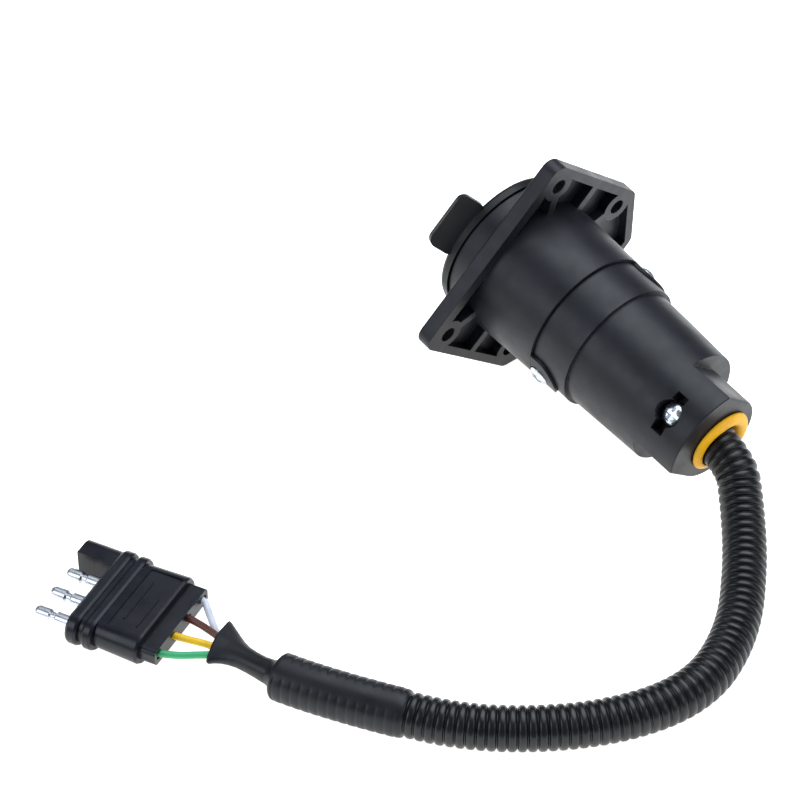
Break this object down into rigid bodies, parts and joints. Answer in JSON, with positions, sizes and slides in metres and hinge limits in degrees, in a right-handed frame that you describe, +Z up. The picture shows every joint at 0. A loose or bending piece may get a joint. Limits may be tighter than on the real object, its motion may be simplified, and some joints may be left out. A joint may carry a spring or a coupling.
{
  "type": "trailer wiring connector",
  "caption": "Round flange-mount trailer socket with a sprung lid and screw-held rear cap, wired through a corrugated loom to a flat moulded plug with bullet terminals.",
  "frame": {"origin": "bottom centre of the box round the socket, without the loom, wires and flat plug that trail from it; the socket lies on one slanted flange edge and on its loom", "axes": "+Z up from the surface it lies on, +X level and along the socket from its lid to its cable end, +Y to the hinge side"},
  "size_m": [0.1795, 0.2501, 0.092],
  "materials": {
    "housing_plastic": "matte",
    "cap_plastic": "matte, finely grained",
    "lid_plastic": "satin",
    "insert_plastic": "matte",
    "gasket_rubber": "soft matte",
    "yellow_rubber": "soft satin",
    "zinc_steel": "bright zinc",
    "clamp_steel": "black zinc",
    "spring_steel": "drawn wire",
    "brass": "plain stamped",
    "nickel": "nickel plate",
    "loom_plastic": "glossy",
    "heat_shrink": "satin",
    "plug_rubber": "glossy moulded",
    "wire_white": "smooth",
    "wire_brown": "smooth",
    "wire_yellow": "smooth",
    "wire_green": "smooth"
  },
  "bodies": {
    "socket": {"socket_housing": "housing_plastic", "rear_cap": "cap_plastic", "cap_screws": "zinc_steel", "clamp_screw": "zinc_steel", "clamp_nut_bar": "clamp_steel", "clamp_saddle": "clamp_steel", "grommet": "yellow_rubber", "hinge_pin": "zinc_steel", "lid_spring": "spring_steel", "terminal_insert": "insert_plastic", "contact_ground": "brass", "contact_brake": "brass", "contact_tail": "brass", "contact_power": "brass", "contact_left": "brass", "contact_right": "brass", "terminal_screws": "brass", "centre_pin": "brass", "loom": "loom_plastic", "heat_shrink": "heat_shrink", "wire_white": "wire_white", "wire_brown": "wire_brown", "wire_yellow": "wire_yellow", "wire_green": "wire_green", "flat_plug_body": "plug_rubber", "bullet_brown": "nickel", "bullet_yellow": "nickel", "bullet_green": "nickel", "socket_terminal": "nickel"},
    "lid": {"lid": "lid_plastic", "lid_gasket": "gasket_rubber"}
  },
  "joints": [
    {"name": "lid_hinge", "type": "hinge", "parent": "socket", "child": "lid", "pos_m": [-0.05167, 0.0257, 0.02483], "axis": [-0.1379, -0.6455, -0.7512], "range_deg": [0, 95], "stiffness_Nm_per_rad": 0.04, "springref_deg": -34.38, "deforming": ["lid_spring"]}
  ]
}
